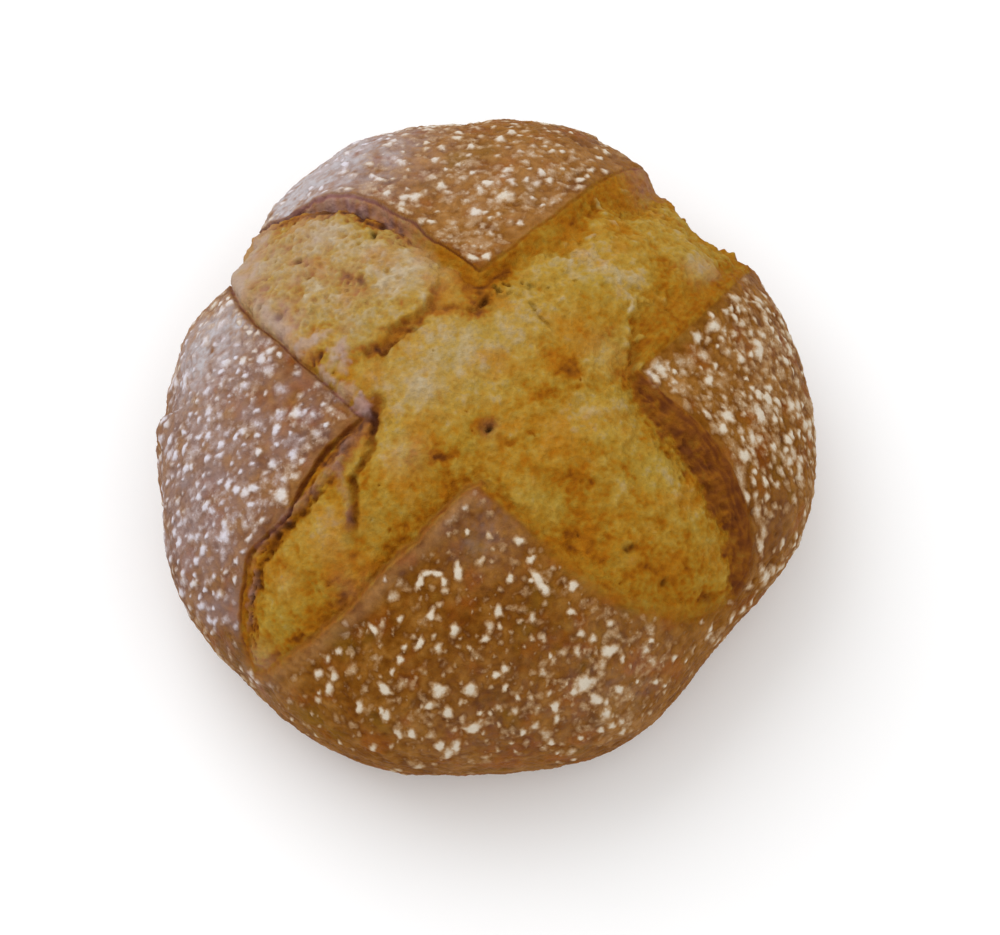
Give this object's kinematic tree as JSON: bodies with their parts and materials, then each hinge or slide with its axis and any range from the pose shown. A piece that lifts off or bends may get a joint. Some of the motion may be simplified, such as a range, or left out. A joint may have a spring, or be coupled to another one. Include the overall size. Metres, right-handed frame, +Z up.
{
  "type": "soda bread loaf",
  "caption": "Round crusty soda bread loaf with a deep cross cut, four floured crust petals round torn golden crumb, and a flat underside.",
  "frame": {"origin": "centre of the footprint box, on the surface that the loaf rests on", "axes": "+Z up through the crown; +X to the right and +Y away from the viewer, so the arms of the cross point between the axes"},
  "size_m": [0.191, 0.199, 0.0861],
  "materials": {
    "crust": "matte browned crust dusted with flour, over golden rough crumb in the cuts"
  },
  "bodies": {
    "root": {"loaf": "crust"}
  },
  "joints": []
}
